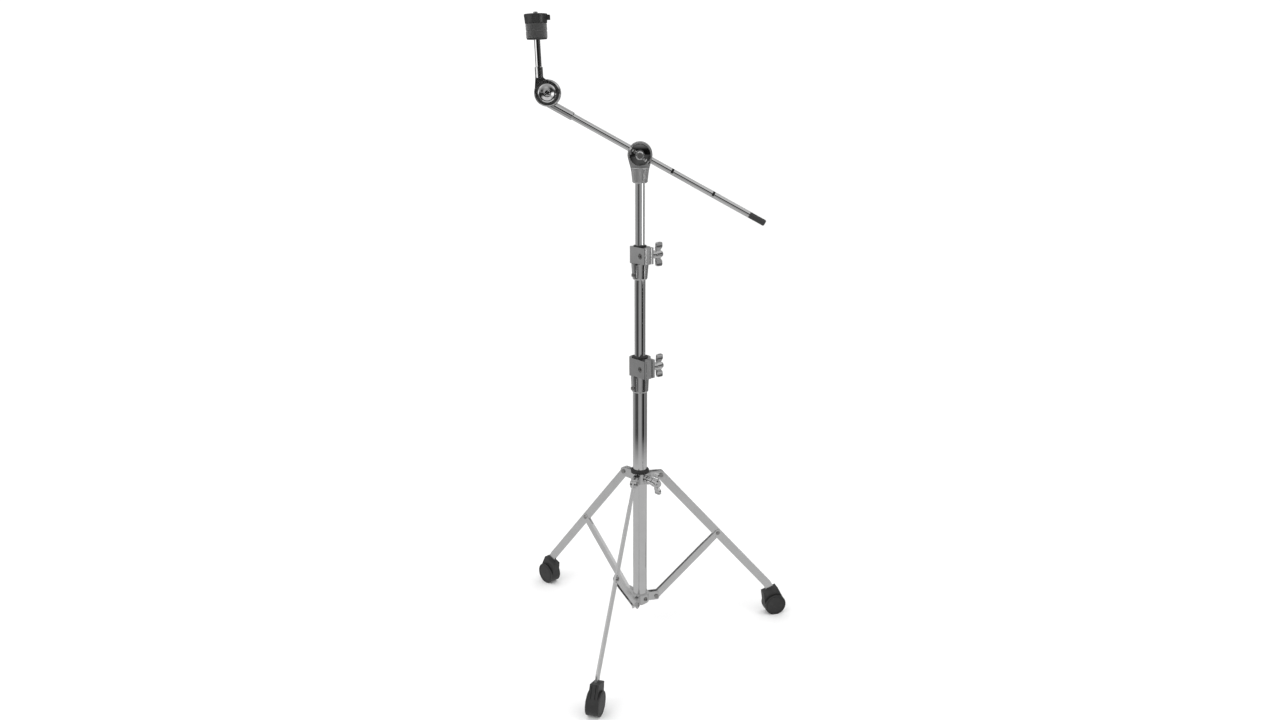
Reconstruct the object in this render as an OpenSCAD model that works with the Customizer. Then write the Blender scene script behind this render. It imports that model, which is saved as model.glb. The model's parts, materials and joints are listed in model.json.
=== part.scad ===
// Cymbal boom stand, standing on its tripod with the boom tilted down to the right.
// Origin: on the floor, on the axis of the base tube. +Z is up, +X points to the boom's
// counterweight end and -Y to the front. All sizes are in millimetres.

/* [Tripod] */
// Azimuth of the right leg, from +X
leg_turn = 14.3; // [0:0.1:30]
// Slope of the leg below the horizontal
leg_slope = 49; // [47:0.5:51]
// Extra slope of the leg's foot end
foot_bend = 23; // [18:1:26]
// Leg length from its hub pivot to the bend
leg_run = 333; // [310:1:340]
// Leg length from the bend to the centre of the foot's drum
foot_run = 42.8; // [39:0.1:46]
// Leg length from its hub pivot to the strut's rivet
rivet_run = 171; // [165:1:175]
// Depth of the leg's flat bar
leg_d = 15.6; // [15:0.1:16.5]
// Width of the leg's flat bar
leg_w = 3.6; // [3:0.1:4.4]
// Depth of the strut's channel
strut_d = 13; // [12:0.5:14]
// Radius from the tube axis to the hub pivots
hub_pivot_r = 38; // [37:0.5:40]
// Radius from the tube axis to the collar pivots
collar_pivot_r = 30.5; // [30:0.5:32]
// Height of the collar pivots above the floor
collar_pivot_z = 69; // [66:1:72]
// Radius of the foot's drum
foot_r = 20.8; // [20:0.1:22]
// Width of the foot's drum
foot_w = 22.5; // [21:0.5:25]

/* [Tubes] */
// Outside diameter of the base tube
base_tube_d = 25.4; // [25:0.1:25.8]
// Outside diameter of the middle tube
middle_tube_d = 19; // [18.8:0.1:19.2]
// Outside diameter of the upper tube
upper_tube_d = 16; // [15.8:0.1:16]
// Wall of the base tube
base_wall = 1.5; // [1.2:0.1:1.6]
// Wall of the middle and upper tubes
slim_wall = 1.2; // [1:0.1:1.2]
// Height of the lower clamp's bottom edge
lower_clamp_z = 473; // [465:1:480]
// Height of the upper clamp's bottom edge
upper_clamp_z = 674; // [665:1:680]
// Height of the boom tilter's pivot
tilter_z = 883.4; // [880:0.2:892]

/* [Boom] */
// Slope of the boom, down to the right
boom_slope = 28.6; // [24:0.1:32]
// Diameter of the boom rod
boom_d = 11; // [10.8:0.1:11]
// Distance of the boom's plane behind the tube axis
boom_y = 21.5; // [21.5:0.5:23]
// Boom length from the tilter pivot to the right end
boom_right = 243; // [220:1:250]
// Boom length from the tilter pivot to the sleeve's mouth
boom_left = 127; // [122:1:132]
// Radius of the boom tilter's drum
tilter_r = 20.7; // [20:0.1:21]

/* [Cymbal seat] */
// Boom length from the tilter pivot to a point abreast of the cymbal tilter pivot
seat_pivot_run = 181; // [177:0.5:184]
// Distance of the cymbal tilter pivot above the boom axis
seat_pivot_rise = 13.5; // [13.2:0.1:13.8]
// Radius of the cymbal tilter's drum
seat_drum_r = 21.8; // [21.4:0.1:22]
// Lean of the stem to the left
stem_lean = 2; // [0:0.5:4]
// Distance of the stem axis to the left of its pivot
stem_offset = 11.8; // [11:0.1:12]
// Diameter of the lower stem
stem_d = 10; // [9.5:0.1:10]
// Diameter of the threaded stud
stud_d = 7.8; // [7.6:0.1:7.8]
// Diameter of the felts
felt_d = 35; // [32:0.5:35.5]
// Thickness of each felt
felt_h = 11.5; // [10:0.5:12]
// Diameter of the release cap at its top
cap_d = 38.2; // [37.5:0.1:39]

/* [Hidden] */

$fn = 64;
// Running gap on a radius
gap = 0.05;
// Overshoot of a cutting tool
over = 1;
chrome = "silver";
steel = "lightgray";
black = [0.12, 0.12, 0.13];
felt_grey = [0.3, 0.3, 0.31];

// Azimuths of the three legs
front_az = leg_turn - 120;
right_az = leg_turn;
left_az = leg_turn + 120;

base_r = base_tube_d / 2;
base_bore = base_r - base_wall;
middle_r = middle_tube_d / 2;
middle_bore = middle_r - slim_wall;
upper_r = upper_tube_d / 2;
upper_bore = upper_r - slim_wall;
boom_r = boom_d / 2;

// Leg, hub and collar
foot_flat = 0.5;
foot_z = foot_r - foot_flat;
hub_pivot_z = foot_z + leg_run * sin(leg_slope) + foot_run * sin(leg_slope + foot_bend);
pin_r = 2.5;
pin_head_r = 4;
pin_head_h = 1.6;
neck_w = leg_w - 0.8;
neck_run = 41;
neck_slope = 3;
hub_slot = neck_w + 2 * gap;
hub_ear_r = leg_d / 2;
hub_ear_t = 4;
collar_ear_t = 2;
collar_ear_nose = 5;
bend_r = 25;
bend_run = bend_r * tan(foot_bend / 2);
foot_socket_h = 33;
foot_socket_w = foot_w - 7;
leg_stop = 10;

// Strut, from its collar pivot to the leg's rivet
rivet_r = hub_pivot_r + rivet_run * cos(leg_slope);
rivet_z = hub_pivot_z - rivet_run * sin(leg_slope);
strut_run = norm([rivet_r - collar_pivot_r, rivet_z - collar_pivot_z]);
strut_slope = atan2(rivet_z - collar_pivot_z, rivet_r - collar_pivot_r);
strut_t = 1.2;
strut_w = leg_w + 2 * (strut_t + 0.2);
strut_ear_r = 6.2;
web_stop = strut_run - 20;

// Hub and collar castings
band_r = 16.5;
ear_root = band_r - 3;
hub_z = hub_pivot_z - 10.5;
hub_h = 19;
hub_ring_h = 6.5;
hub_screw_az = front_az + 60;
hub_screw_z = hub_pivot_z - 2.2;
hub_boss_r = 7.5;
hub_boss_reach = 23;
collar_z = collar_pivot_z - 7;
collar_h = 17;
collar_screw_az = front_az + 55;
collar_screw_z = collar_z + 9;

// Clamps: their own frame has +X out along the lugs and +Y along the bolt to the nut
clamp_turn = -50;
bolt_r = 3;
slit = 1.6;
lug_t = 8.5;
lower_sleeve_h = 30;
lower_block_h = 33;
lower_front = 15.5;
lower_reach = 32.5;
lower_bolt_x = 18.5;
lower_ring_r = 18.9;
upper_sleeve_h = 28;
upper_block_h = 29;
upper_front = 12.5;
upper_reach = 28;
upper_bolt_x = 15.5;
flange_h = 1.6;
lower_key_r = 14.8;
upper_key_r = 12.8;
key_screw_r = 2;
key_screw_turn = -88;
key_screw_rise = 9;
lower_seam_z = lower_clamp_z + lower_sleeve_h;
upper_seam_z = upper_clamp_z + upper_sleeve_h;
lower_bolt_z = lower_seam_z + lower_block_h / 2;
upper_bolt_z = upper_seam_z + upper_block_h / 2;

// Wing nuts
nut_len = 26;
wing_reach = 15.5;
wing_t = 5;

// Tube ends
middle_foot_z = 330;
upper_foot_z = 560;
plug_h = 8;
spigot_h = 16;

// Boom tilter
tilter_plate_t = 10;
tilter_socket_z = tilter_z - 46.4;
tilter_socket_h = 25.5;
tilter_dish_r = 17.9;
tilter_dish_depth = 2.5;
tilter_head_back = boom_y + 9.5;
eye_r = 9;
eye_shank_r = 4;
tilter_cap_h = 4;
tilter_nut_seat = tilter_plate_t / 2 - tilter_dish_depth + tilter_cap_h + 2 * gap;

// Boom and cymbal tilter: the boom frame has +X along the boom to its right end
sleeve_r = 7;
end_cap_len = 31;
mark_runs = [61.5, 141];
mark_w = 4;
rod_start = -seat_pivot_run + 21.2;
seat_x = -seat_pivot_run * cos(boom_slope) + seat_pivot_rise * sin(boom_slope);
seat_z = tilter_z + seat_pivot_run * sin(boom_slope) + seat_pivot_rise * cos(boom_slope);
seat_plate_t = 8.5;
head_t = 10.5;
head_y = boom_y - gap;
stem_y = head_y - head_t / 2;
seat_nut_y = boom_y + seat_plate_t + gap;
seat_cap_r = 15;
socket_r = 6.6;
socket_foot = 25.5;
socket_top = 42;

// Heights along the stem above the cymbal tilter pivot
washer_z = 84.6;
washer_h = 1.6;
felt_z = washer_z + washer_h + gap;
upper_felt_z = felt_z + felt_h + gap;
cap_z = upper_felt_z + felt_h + gap;
cap_h = 14.3;
stud_top = cap_z + cap_h + 3.6;
sleeve_top = cap_z + 2;
stem_sleeve_r = 6;
button_z = cap_z + 4.6;
button_h = 7.6;
button_w = 12;
button_travel = 3;
button_reach = 23;
button_tail = 7.5;
slot_end = 14.2;

// ---------- shared shapes ----------

// Two circles and the straight sides that touch both, in the plane
module slab(from, from_r, to, to_r) {
  run = to - from;
  aim = atan2(run[1], run[0]);
  spread = acos((from_r - to_r) / norm(run));
  translate(from) circle(from_r);
  translate(to) circle(to_r);
  polygon([
    from + from_r * [cos(aim + spread), sin(aim + spread)],
    to + to_r * [cos(aim + spread), sin(aim + spread)],
    to + to_r * [cos(aim - spread), sin(aim - spread)],
    from + from_r * [cos(aim - spread), sin(aim - spread)]
  ]);
}

// Rectangle from low to high with rounded corners
module soft_rect(low, high, r) {
  translate(low + [r, 0]) square(high - low - [2 * r, 0]);
  translate(low + [0, r]) square(high - low - [0, 2 * r]);
  for (x = [low[0] + r, high[0] - r], y = [low[1] + r, high[1] - r]) {
    translate([x, y]) circle(r);
  }
}

// Plate drawn in X and Z, standing in the plane y = 0, thickness t centred on it
module upright(t) {
  translate([0, t / 2, 0]) rotate([90, 0, 0]) linear_extrude(t) children();
}

// Round rod along +Y, starting at y = 0
module rod_y(r, len) {
  rotate([-90, 0, 0]) cylinder(r = r, h = len);
}

module tube(r, bore, z, h) {
  difference() {
    translate([0, 0, z]) cylinder(r = r, h = h);
    translate([0, 0, z - over]) cylinder(r = bore, h = h + 2 * over);
  }
}

// Rivet along Y through a clevis whose outer faces are span apart
module clevis_pin(span) {
  translate([0, -span / 2 - gap, 0]) rod_y(pin_r, span + 2 * gap);
  for (side = [-1, 1]) {
    translate([0, side * (span / 2 + gap + pin_head_h / 2), 0])
      rotate([90, 0, 0]) cylinder(r = pin_head_r, h = pin_head_h, center = true);
  }
}

// Wing nut on +Y, its seat at y = 0 and its wings along Z
module wing_nut(bore) {
  rotate([-90, 0, 0]) rotate_extrude() polygon([
    [bore, 0], [6, 0], [6, 9], [7.2, 12], [7.2, 22], [5.2, nut_len], [bore, nut_len]
  ]);
  for (side = [0, 180]) rotate([0, side, 0]) difference() {
    translate([-wing_t / 2, 0, 0]) rotate([90, 0, 90]) linear_extrude(wing_t)
      slab([18.5, 9.5], 4.5, [20.5, wing_reach], 6.8);
    for (x = [-1, 1]) translate([x * (wing_t / 2 + 7.6), 10, wing_reach]) rod_y(8.5, 22);
    // flat end of the wing
    translate([-wing_t, 0, wing_reach + 5]) cube([2 * wing_t, 2 * nut_len, wing_reach]);
  }
}

// Round guide plug: a collar below the tube's end and a spigot inside it
module guide_plug(r, spigot_r, bore, z) {
  difference() {
    union() {
      translate([0, 0, z - plug_h]) cylinder(r = r, h = plug_h - gap);
      translate([0, 0, z - over]) cylinder(r = spigot_r, h = spigot_h + over);
    }
    translate([0, 0, z - plug_h - over]) cylinder(r = bore, h = plug_h + spigot_h + 2 * over);
  }
}

// ---------- tripod ----------

// Puts a piece drawn in the XZ plane in the plane of one leg
module leg_plane(az) {
  rotate([0, 0, az]) children();
}

// Frame of a leg: origin at the hub pivot, +Z down the leg, +X to its inner side
module leg_frame(az) {
  leg_plane(az) translate([hub_pivot_r, 0, hub_pivot_z]) rotate([0, 90 + leg_slope, 0]) children();
}

// Flat bar, thinner in the hub's clevis, with an eye at its top and a bend above its foot
module leg(az) {
  bend_z = leg_run - bend_run;
  end_run = foot_run - bend_run - leg_stop;
  leg_frame(az) color(chrome) difference() {
    union() {
      upright(neck_w) circle(leg_d / 2 - 0.3);
      translate([-leg_d / 2, 0, 0]) rotate([90, 0, 90]) linear_extrude(leg_d) polygon([
        [-neck_w / 2, 0], [neck_w / 2, 0], [neck_w / 2, neck_run], [leg_w / 2, neck_run + neck_slope],
        [leg_w / 2, bend_z], [-leg_w / 2, bend_z], [-leg_w / 2, neck_run + neck_slope], [-neck_w / 2, neck_run]
      ]);
      translate([bend_r, 0, bend_z]) rotate([90, 0, 180])
        rotate_extrude(angle = foot_bend) translate([bend_r, 0]) square([leg_d, leg_w], center = true);
      foot_end() translate([-leg_d / 2, -leg_w / 2, bend_run]) cube([leg_d, leg_w, end_run]);
    }
    translate([0, -leg_w, 0]) rod_y(pin_r + gap, 2 * leg_w);
    translate([0, -leg_w, rivet_run]) rod_y(pin_r + gap, 2 * leg_w);
  }
}

// In the leg's frame: the frame of its foot end, +Z still along the leg
module foot_end() {
  translate([0, 0, leg_run]) rotate([0, foot_bend, 0]) children();
}

// Rubber foot: a drum on edge with a tapered socket block on top
module foot(az) {
  top = foot_socket_h;
  socket_half = 14.9;
  leg_frame(az) foot_end() translate([0, 0, foot_run]) color(black) difference() {
    union() {
      upright(foot_w) circle(foot_r);
      upright(foot_socket_w) polygon([
        [-socket_half, -top], [socket_half, -top], [foot_r - 1.5, -foot_r / 3], [0, foot_r / 2],
        [1.5 - foot_r, -foot_r / 3]
      ]);
    }
    // pocket for the leg's end
    translate([-leg_d / 2 - gap, -leg_w / 2 - gap, -top - over])
      cube([leg_d + 2 * gap, leg_w + 2 * gap, top + over - leg_stop + gap]);
    // two grooves down the outer face of the socket
    for (side = [-1, 1]) translate([1.2 - socket_half, side * 3.6, -top - over])
      rotate([0, -9, 0]) translate([-5, -0.8, 0]) cube([5, 1.6, 24]);
    // shallow rings round both faces of the drum
    for (side = [-1, 1]) translate([0, side * foot_w / 2, 0]) rotate([90, 0, 0])
      tube(foot_r - 3, foot_r - 4.2, -0.6, 1.2);
    foot_floor_cut();
  }
}

// Everything below the floor, seen from a foot's own frame
module foot_floor_cut() {
  rotate([0, -90 - leg_slope - foot_bend, 0])
    translate([-2 * foot_r, -foot_w, -foot_z - 2 * foot_r]) cube([4 * foot_r, 2 * foot_w, 2 * foot_r]);
}

// Side of a hub ear in X and Z: from the band out to a round nose on the pivot
module hub_ear() {
  r = hub_ear_r;
  inset = 0.25;
  z = hub_z + 1.5;
  top = hub_z + hub_h - 0.5;
  translate([hub_pivot_r, hub_pivot_z]) circle(r);
  polygon([
    [ear_root, z], [hub_pivot_r - r / 2, z], [hub_pivot_r, hub_pivot_z - r + inset],
    [hub_pivot_r, hub_pivot_z + r - inset], [hub_pivot_r - r, top], [ear_root, top]
  ]);
}

// Side of a collar ear in X and Z: a plate with clipped corners
module collar_ear() {
  clip = 2;
  nose = collar_pivot_r + collar_ear_nose;
  z = collar_z + 0.3;
  top = collar_z + collar_h - 0.5;
  polygon([
    [ear_root, z], [nose - clip, z], [nose, z + clip], [nose, top - clip], [nose - clip, top], [ear_root, top]
  ]);
}

// Three clevises round the tube, each a pair of ears slot apart
module clevises(slot, t) {
  for (az = [front_az, right_az, left_az], side = [-1, 1]) leg_plane(az)
    translate([0, side * (slot + t) / 2, 0]) upright(t) children();
}

module clevis_bores(pivot_r, pivot_z) {
  for (az = [front_az, right_az, left_az]) leg_plane(az)
    translate([pivot_r, -band_r, pivot_z]) rod_y(pin_r + gap, 2 * band_r);
}

// Casting that slides on the base tube, with a boss for its wing screw between two legs
module leg_hub() {
  color(chrome) difference() {
    union() {
      translate([0, 0, hub_z]) cylinder(r = band_r, h = hub_h);
      clevises(hub_slot, hub_ear_t) hub_ear();
      leg_plane(hub_screw_az) translate([ear_root, 0, hub_screw_z]) rotate([0, 90, 0])
        cylinder(r = hub_boss_r, h = hub_boss_reach - ear_root);
    }
    translate([0, 0, hub_z - over]) cylinder(r = base_r + gap, h = hub_h + 2 * over);
    clevis_bores(hub_pivot_r, hub_pivot_z);
    leg_plane(hub_screw_az) translate([0, 0, hub_screw_z]) rotate([0, 90, 0])
      cylinder(r = bolt_r + gap, h = hub_boss_reach + over);
  }
}

module hub_ring() {
  color(black) translate([0, 0, hub_z + hub_h + gap]) rotate_extrude() polygon([
    [base_r + gap, 0], [band_r, 0], [band_r, hub_ring_h - 2], [band_r - 1.5, hub_ring_h], [base_r + gap, hub_ring_h]
  ]);
}

module hub_pins() {
  span = hub_slot + 2 * hub_ear_t;
  color(steel) for (az = [front_az, right_az, left_az]) leg_plane(az)
    translate([hub_pivot_r, 0, hub_pivot_z]) clevis_pin(span);
}

// One-piece wing screw whose tip locks the hub on the tube
module hub_wing_screw() {
  wing_turn = 8;
  tip = base_r + 2 * gap;
  color(chrome) leg_plane(hub_screw_az) translate([hub_boss_reach + gap, 0, hub_screw_z])
    rotate([wing_turn, 0, 0]) rotate([0, 0, -90]) {
      wing_nut(0);
      translate([0, tip - hub_boss_reach - gap, 0]) rod_y(bolt_r, hub_boss_reach - tip + over);
    }
}

// Frame of a strut: origin at the collar pivot, +Z up the strut, -X to its upper side
module strut_frame(az) {
  leg_plane(az) translate([collar_pivot_r, 0, collar_pivot_z]) rotate([0, 90 - strut_slope, 0]) children();
}

// Folded channel, its web on the upper side and its open end round the leg
module strut(az) {
  strut_frame(az) color(chrome) difference() {
    union() {
      upright(strut_w) circle(strut_d / 2);
      upright(strut_w) translate([0, strut_run]) circle(strut_ear_r);
      upright(strut_w) polygon([
        [-strut_d / 2, 0], [-strut_d / 2, strut_run - 36], [0.2 - strut_ear_r, web_stop],
        [0.2 - strut_ear_r, strut_run], [strut_ear_r - 0.2, strut_run], [strut_ear_r - 0.2, web_stop],
        [strut_d / 2, strut_run - 36], [strut_d / 2, 0]
      ]);
    }
    // open side of the channel
    translate([strut_t - strut_d / 2, strut_t - strut_w / 2, -strut_d])
      cube([strut_d, strut_w - 2 * strut_t, strut_run + 2 * strut_d]);
    // the web stops short of the leg
    translate([-strut_d, strut_t - strut_w / 2, web_stop])
      cube([2 * strut_d, strut_w - 2 * strut_t, strut_run]);
    for (z = [0, strut_run]) translate([0, -strut_w, z]) rod_y(pin_r + gap, 2 * strut_w);
  }
}

// Rivet heads with their shanks in the strut's ears; the leg between them stays clear
module strut_rivets(az) {
  strut_frame(az) color(steel) for (side = [0, 180])
    translate([0, 0, strut_run]) rotate([0, 0, side]) {
      translate([0, strut_w / 2 - strut_t + gap, 0]) rod_y(pin_r, strut_t + over);
      translate([0, strut_w / 2 + gap, 0]) rotate([-90, 0, 0]) rotate_extrude()
        polygon([[0, 0], [pin_head_r, 0], [pin_head_r - 0.6, 1], [2, 1.8], [0, 1.9]]);
    }
}

module leg_collar() {
  slot = strut_w + 4 * gap;
  color(chrome) difference() {
    union() {
      translate([0, 0, collar_z]) cylinder(r = band_r, h = collar_h);
      clevises(slot, collar_ear_t) collar_ear();
    }
    translate([0, 0, collar_z - over]) cylinder(r = base_r + gap, h = collar_h + 2 * over);
    clevis_bores(collar_pivot_r, collar_pivot_z);
    leg_plane(collar_screw_az) translate([base_r - over, 0, collar_screw_z]) rotate([0, 90, 0])
      cylinder(r = 2.5 + gap, h = 8);
  }
}

module collar_pins() {
  span = strut_w + 4 * gap + 2 * collar_ear_t;
  color(steel) for (az = [front_az, right_az, left_az]) leg_plane(az)
    translate([collar_pivot_r, 0, collar_pivot_z]) clevis_pin(span);
}

module collar_screw() {
  color(steel) leg_plane(collar_screw_az) translate([base_r + gap, 0, collar_screw_z]) rotate([0, 90, 0])
    difference() {
      union() {
        cylinder(r = 2.5, h = band_r - base_r + over);
        translate([0, 0, band_r - base_r]) cylinder(r1 = 4.2, r2 = 3, h = 2.2);
      }
      for (turn = [0, 90]) rotate([0, 0, turn]) translate([-2.2, -0.5, band_r - base_r + 1]) cube([4.4, 1, 2]);
    }
}

module base_tube() {
  color(chrome) tube(base_r, base_bore, collar_z, lower_seam_z - collar_z - gap);
}

module base_tube_plug() {
  color(black) {
    translate([0, 0, collar_z - 3]) cylinder(r = base_r, h = 3 - gap);
    translate([0, 0, collar_z - over]) cylinder(r = base_bore - gap, h = 14);
  }
}

// ---------- height clamps ----------

module clamp_frame() {
  rotate([0, 0, clamp_turn]) children();
}

// Tapered sleeve with six flutes, below a clamp's block
module clamp_sleeve(z, h, bore, foot_radius, top_radius) {
  flute_r = 2.3;
  difference() {
    translate([0, 0, z]) rotate_extrude() polygon([
      [bore, 0], [foot_radius - 1.5, 0], [foot_radius, 2], [top_radius, h], [bore, h]
    ]);
    for (turn = [0:60:300]) rotate([0, 0, turn]) translate([foot_radius + 1.6, 0, z + 3])
      cylinder(r = flute_r, h = h - 5);
  }
}

// Everything that is drilled, sawn or faced out of a clamp
module clamp_cuts(seam_z, h, bore, bolt_x, bolt_z, front, reach) {
  nut_face_r = 6.6;
  translate([0, 0, seam_z - over]) cylinder(r = bore, h = h + 2 * over);
  translate([0, -slit / 2, seam_z]) cube([reach + over, slit, h + over]);
  translate([2, -reach, seam_z]) cube([reach, 2 * reach, 1]);
  translate([bolt_x, -front - over, bolt_z]) rod_y(bolt_r + gap, front + lug_t + 2 * over);
  translate([bolt_x, -front - over, bolt_z]) rod_y(5, 4 + over);
  translate([bolt_x, lug_t, bolt_z]) rod_y(nut_face_r, reach);
}

module lower_clamp() {
  bore = base_r + gap;
  color(chrome) clamp_frame() difference() {
    union() {
      clamp_sleeve(lower_clamp_z, lower_sleeve_h, bore, lower_key_r, 16);
      translate([0, 0, lower_seam_z]) linear_extrude(lower_block_h) {
        intersection() {
          circle(lower_ring_r);
          translate([-lower_ring_r, -lower_front]) square([2 * lower_ring_r, 2 * lower_ring_r]);
        }
        soft_rect([0, -lower_front], [lower_reach, 0], 2.5);
        soft_rect([0, 0], [lower_reach - 1, lug_t], 2.5);
        translate([0, -6]) square([lower_reach - 3, 12]);
      }
    }
    clamp_cuts(lower_seam_z, lower_block_h, bore, lower_bolt_x, lower_bolt_z, lower_front, lower_reach);
    key_screw_bore(lower_clamp_z);
  }
}

module upper_clamp() {
  bore = middle_r + gap;
  corner = 13;
  color(chrome) clamp_frame() difference() {
    union() {
      clamp_sleeve(upper_clamp_z, upper_sleeve_h, bore, upper_key_r, 15);
      translate([0, 0, upper_seam_z]) linear_extrude(upper_block_h) {
        soft_rect([-corner, -upper_front], [corner, upper_front], 1.5);
        soft_rect([0, -upper_front], [upper_reach, 0], 2.5);
        soft_rect([0, 0], [upper_reach - 1, lug_t], 2.5);
        translate([0, -6]) square([upper_reach - 3, 12]);
      }
    }
    clamp_cuts(upper_seam_z, upper_block_h, bore, upper_bolt_x, upper_bolt_z, upper_front, upper_reach);
    key_screw_bore(upper_clamp_z);
  }
}

// Nylon bushing in a clamp's block, with a flange on top
module bushing(r, bore, seam_z, block_h) {
  top = seam_z + block_h;
  difference() {
    union() {
      translate([0, 0, seam_z + gap]) cylinder(r = r, h = block_h);
      translate([0, 0, top + gap]) cylinder(r = r + 1.6, h = flange_h);
    }
    translate([0, 0, seam_z - over]) cylinder(r = bore, h = block_h + flange_h + 3 * over);
  }
}

module lower_bushing() {
  color(black) bushing(base_r, middle_r + gap, lower_seam_z, lower_block_h);
}

module upper_bushing() {
  color(black) bushing(middle_r, upper_r + gap, upper_seam_z, upper_block_h);
}

// Clamp bolt: a round head sunk in the front lug, its shank on +Y through both lugs
module clamp_bolt(bolt_x, bolt_z, front) {
  color(steel) clamp_frame() translate([bolt_x, -front + 4 - gap, bolt_z]) difference() {
    union() {
      rod_y(bolt_r, front - 4 + lug_t + nut_len + 2);
      translate([0, -3, 0]) rod_y(4.7, 3);
    }
    translate([-2, -4, -2]) cube([4, 2.5, 4]);
  }
}

module clamp_wing_nut(bolt_x, bolt_z) {
  color(chrome) clamp_frame() translate([bolt_x, lug_t + gap, bolt_z]) wing_nut(bolt_r + gap);
}

// Puts children on the axis of the key screw in the foot of a clamp's sleeve, +X outwards
module key_screw_frame(z) {
  rotate([0, 0, key_screw_turn]) translate([0, 0, z + key_screw_rise]) children();
}

// Square-headed key screw, its head clear of the sleeve's wall
module key_screw(z, tube_r, sleeve_radius) {
  head = 5;
  tip = tube_r + 2 * gap;
  color(steel) clamp_frame() key_screw_frame(z) {
    translate([tip, 0, 0]) rotate([0, 90, 0]) cylinder(r = key_screw_r, h = sleeve_radius - tip + 2 * over);
    translate([sleeve_radius + over, -head / 2, -head / 2]) cube([3.6, head, head]);
  }
}

module key_screw_bore(z) {
  key_screw_frame(z) rotate([0, 90, 0]) cylinder(r = key_screw_r + gap, h = lower_reach);
}

// ---------- telescoping tubes ----------

module middle_tube() {
  color(chrome) tube(middle_r, middle_bore, middle_foot_z, upper_seam_z - middle_foot_z - gap);
}

module middle_tube_plug() {
  color(black) guide_plug(base_bore - gap, middle_bore - gap, middle_bore - 2.5, middle_foot_z);
}

module upper_tube() {
  color(chrome) tube(upper_r, upper_bore, upper_foot_z, tilter_socket_z + 20 - upper_foot_z);
}

module upper_tube_plug() {
  color(black) guide_plug(middle_bore - gap, upper_bore - gap, upper_bore - 2.5, upper_foot_z);
}

// ---------- boom tilter ----------

module tilter_base() {
  rim_r = 15;
  foot_radius = 12.2;
  rib_r = 0.8;
  color(chrome) difference() {
    union() {
      translate([0, 0, tilter_socket_z]) rotate_extrude() polygon([
        [0, 0], [foot_radius - 1.5, 0], [foot_radius, 1.5], [rim_r, tilter_socket_h - 1],
        [rim_r - 0.6, tilter_socket_h], [0, tilter_socket_h]
      ]);
      for (turn = [0:45:315]) rotate([0, 0, turn - 90]) translate([foot_radius - 0.2, 0, tilter_socket_z + 1.5])
        rotate([0, atan2(rim_r - foot_radius, tilter_socket_h), 0]) cylinder(r = rib_r, h = tilter_socket_h - 4);
      upright(tilter_plate_t) slab([0, tilter_z], tilter_r, [0, tilter_socket_z + tilter_socket_h - 7], 13.5);
    }
    translate([0, 0, tilter_socket_z - over]) cylinder(r = upper_r + gap, h = 20 + over + gap);
    translate([0, -tilter_r, tilter_z]) rod_y(eye_shank_r + gap, 2 * tilter_r);
    // dish in the front face
    translate([0, tilter_dish_depth - tilter_plate_t / 2, tilter_z]) rotate([180, 0, 0])
      rod_y(tilter_dish_r, tilter_plate_t);
  }
}

// Frame of the boom: origin on the boom axis abreast of the tilter pivot, +X along the boom
module boom_frame() {
  translate([0, boom_y, tilter_z]) rotate([0, boom_slope, 0]) children();
}

// Round bar along the boom from x = from to x = to
module boom_bar(r, from, to) {
  translate([from, 0, 0]) rotate([0, 90, 0]) cylinder(r = r, h = to - from);
}

// Puts children on the tilter's pivot axis, with y = 0 in the plane of the tubes
module tilter_pivot() {
  translate([0, 0, tilter_z]) children();
}

module tilter_head() {
  seat = tilter_plate_t / 2 + gap;
  depth = tilter_head_back - seat;
  color(chrome) difference() {
    tilter_pivot() translate([0, seat, 0]) rotate([-90, 0, 0]) rotate_extrude() polygon([
      [0, 0], [tilter_r, 0], [tilter_r, 5], [tilter_r - 1.2, 6.2], [tilter_r - 1.2, 8],
      [tilter_r, 9.2], [tilter_r, depth - 1.5], [tilter_r - 1.5, depth], [0, depth]
    ]);
    boom_frame() boom_bar(boom_r + gap, -2 * tilter_r, 2 * tilter_r);
    tilter_pivot() translate([0, 12, 0]) rod_y(eye_r + gap, tilter_head_back);
    tilter_pivot() rod_y(eye_shank_r + gap, tilter_head_back);
  }
}

// Bolt whose eye holds the boom rod and whose shank runs forward to the wing nut
module tilter_eye_bolt() {
  eye_start = 12 + gap;
  shank_end = tilter_nut_seat + nut_len + 2;
  color(steel) difference() {
    tilter_pivot() {
      translate([0, eye_start, 0]) rod_y(eye_r, tilter_head_back - 0.8 - eye_start);
      translate([0, -shank_end, 0]) rod_y(eye_shank_r, shank_end + eye_start + 2);
    }
    boom_frame() boom_bar(boom_r + gap, -2 * eye_r, 2 * eye_r);
  }
}

// Domed washer in the dish of the tilter base, under the wing nut
module tilter_cap() {
  cap_r = tilter_dish_r - 0.3;
  rim_t = 0.8;
  boss_r = 8;
  bore = eye_shank_r + gap;
  dome_h = tilter_cap_h - 0.8;
  sphere_r = (cap_r * cap_r + dome_h * dome_h) / (2 * dome_h);
  steps = 8;
  dome = [for (i = [1:steps]) let (x = cap_r - (cap_r - boss_r) * i / steps)
    [x, rim_t + dome_h - sphere_r + sqrt(sphere_r * sphere_r - x * x)]];
  color(chrome) tilter_pivot() translate([0, tilter_dish_depth - tilter_plate_t / 2 - gap, 0]) rotate([90, 0, 0])
    rotate_extrude() polygon(concat(
      [[bore, 0], [cap_r, 0], [cap_r, rim_t]],
      dome,
      [[boss_r, tilter_cap_h], [bore, tilter_cap_h]]
    ));
}

module tilter_wing_nut() {
  wing_turn = -53;
  color(chrome) tilter_pivot() translate([0, -tilter_nut_seat, 0]) rotate([0, wing_turn, 0])
    mirror([0, 1, 0]) wing_nut(eye_shank_r + gap);
}

// ---------- boom and cymbal tilter ----------

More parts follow.
